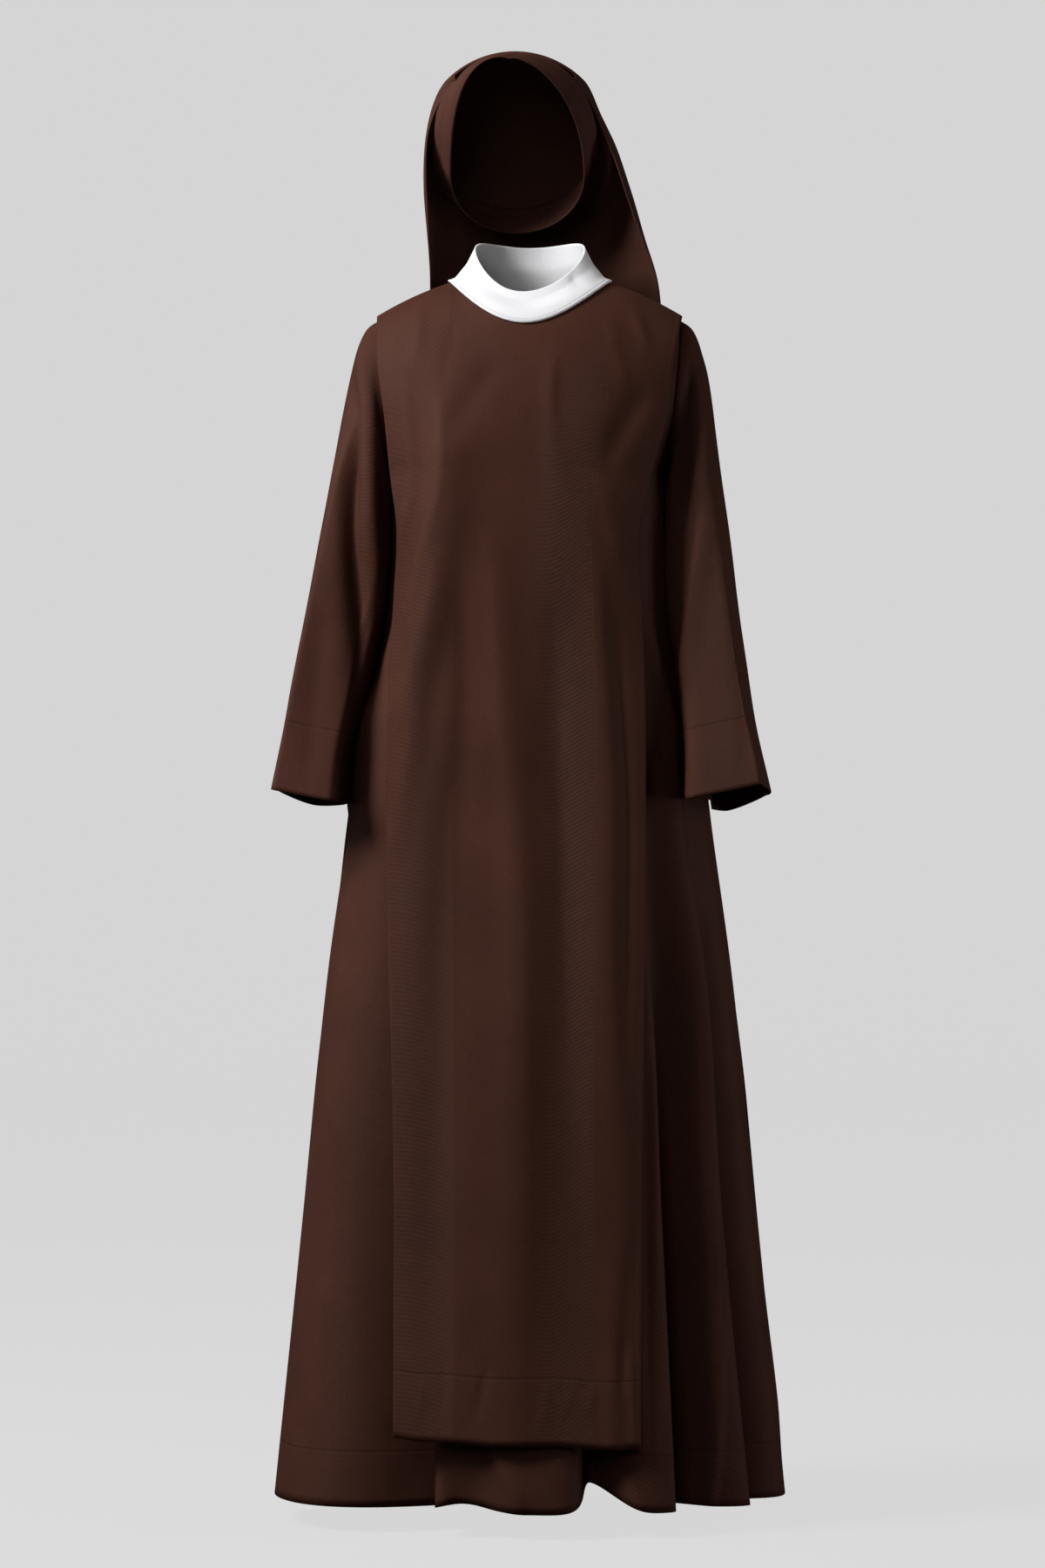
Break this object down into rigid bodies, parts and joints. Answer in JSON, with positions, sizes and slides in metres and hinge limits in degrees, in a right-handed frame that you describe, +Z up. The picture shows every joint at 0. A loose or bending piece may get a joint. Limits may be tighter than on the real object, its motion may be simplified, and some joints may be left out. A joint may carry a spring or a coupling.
{
  "type": "nun habit",
  "caption": "Long brown nun's habit with wide sleeves, a scapular, a white collar and a brown veil, hanging as worn.",
  "frame": {"origin": "the base of the neck, midway between the shoulders, where the wearer holds the garment up", "axes": "+X towards the wearer's left, +Y towards the back, +Z up"},
  "size_m": [0.5858, 0.458, 1.6527],
  "materials": {
    "tunic_brown": "matt fine twill",
    "scapular_brown": "matt fine twill",
    "veil_brown": "matt light plain weave",
    "collar_white": "smooth starched plain weave"
  },
  "bodies": {
    "root": {"tunic_front": "tunic_brown", "tunic_back": "tunic_brown", "sleeve_left": "tunic_brown", "sleeve_right": "tunic_brown", "scapular_front": "scapular_brown", "scapular_back": "scapular_brown", "collar": "collar_white", "veil_band": "veil_brown", "veil": "veil_brown"}
  },
  "joints": []
}
